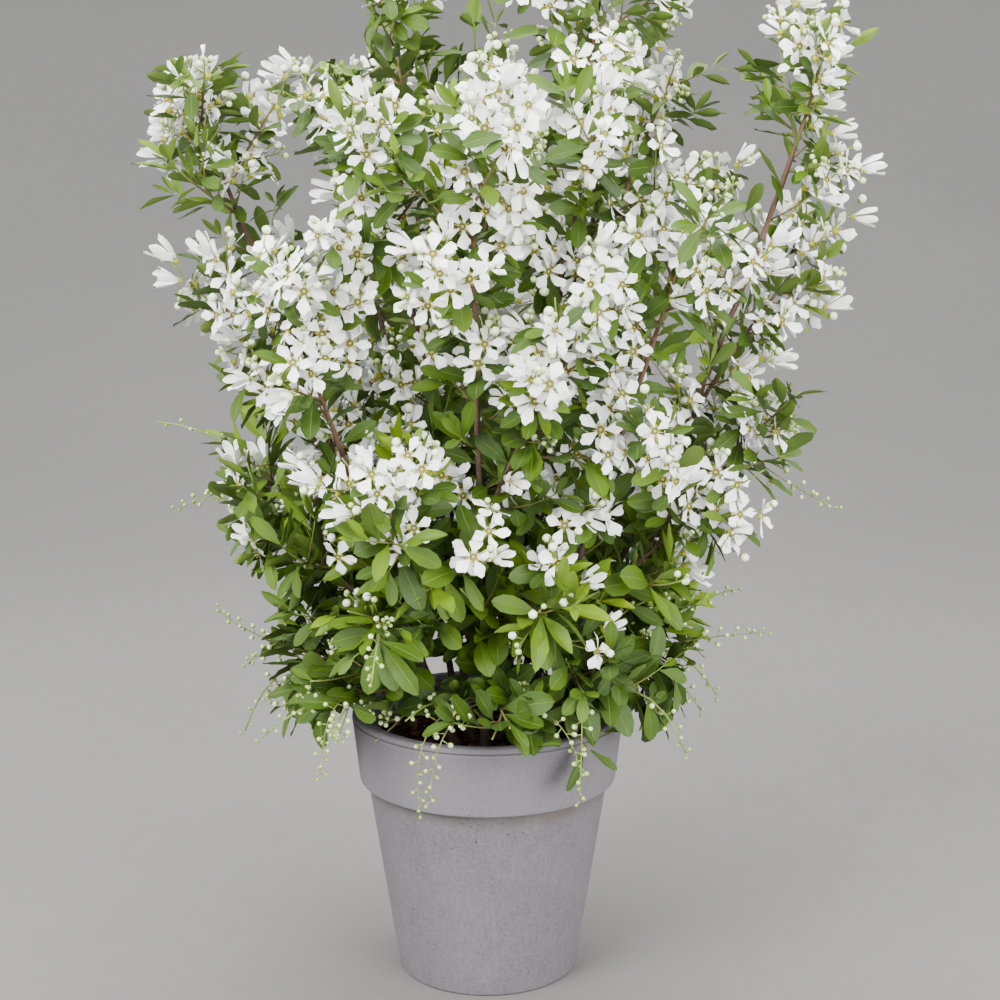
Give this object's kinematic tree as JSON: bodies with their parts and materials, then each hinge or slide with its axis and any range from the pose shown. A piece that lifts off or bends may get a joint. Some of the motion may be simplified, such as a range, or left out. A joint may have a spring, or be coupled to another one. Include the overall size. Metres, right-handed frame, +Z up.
{
  "type": "potted pearlbush",
  "caption": "Many-stemmed garden shrub with arching sprays of white blossom and green leaves, growing in a round grey pot with a broad rim band.",
  "frame": {"origin": "centre of the pot's flat underside", "axes": "+Z up along the pot's axis, +X to the right and -Y towards the viewer of the source view"},
  "size_m": [0.7173, 0.5721, 1.0741],
  "materials": {
    "pot": "matte",
    "soil": "matte",
    "bark": "matte",
    "foliage": "satin",
    "blossom": "satin"
  },
  "bodies": {
    "root": {"bough_back_mid": "bark", "bough_left_arch_high": "bark", "bough_left_arch_mid": "bark", "bough_left_back_mid": "bark", "bough_left_front_mid": "bark", "bough_left_top_high": "bark", "bough_middle_front_high": "bark", "bough_middle_front_mid": "bark", "bough_middle_top_high": "bark", "bough_right_back_mid": "bark", "bough_right_front_mid": "bark", "bough_right_leader_high": "bark", "bough_right_leader_mid": "bark", "pot": "pot", "soil": "soil", "spray_back_low": "foliage", "spray_back_mid": "blossom", "spray_back_tip": "blossom", "spray_left_arch_high": "blossom", "spray_left_arch_low": "foliage", "spray_left_arch_mid": "blossom", "spray_left_arch_tip": "blossom", "spray_left_back_low": "foliage", "spray_left_back_mid": "blossom", "spray_left_back_tip": "blossom", "spray_left_front_inner": "foliage", "spray_left_front_low": "foliage", "spray_left_front_mid": "blossom", "spray_left_front_tip": "blossom", "spray_left_top_high": "blossom", "spray_left_top_low": "blossom", "spray_left_top_tip": "foliage", "spray_middle_front_high": "blossom", "spray_middle_front_inner": "foliage", "spray_middle_front_low": "foliage", "spray_middle_front_mid": "blossom", "spray_middle_front_tip": "blossom", "spray_middle_top_high": "blossom", "spray_middle_top_low": "blossom", "spray_middle_top_tip": "blossom", "spray_right_back_low": "foliage", "spray_right_back_mid": "blossom", "spray_right_back_tip": "blossom", "spray_right_front_low": "foliage", "spray_right_front_mid": "blossom", "spray_right_front_tip": "blossom", "spray_right_leader_high": "blossom", "spray_right_leader_low": "foliage", "spray_right_leader_mid": "blossom", "spray_right_leader_tip": "blossom", "stem_back": "bark", "stem_left_arch": "bark", "stem_left_back": "bark", "stem_left_front": "bark", "stem_left_top": "bark", "stem_middle_front": "bark", "stem_middle_top": "bark", "stem_right_back": "bark", "stem_right_front": "bark", "stem_right_leader": "bark"}
  },
  "joints": []
}
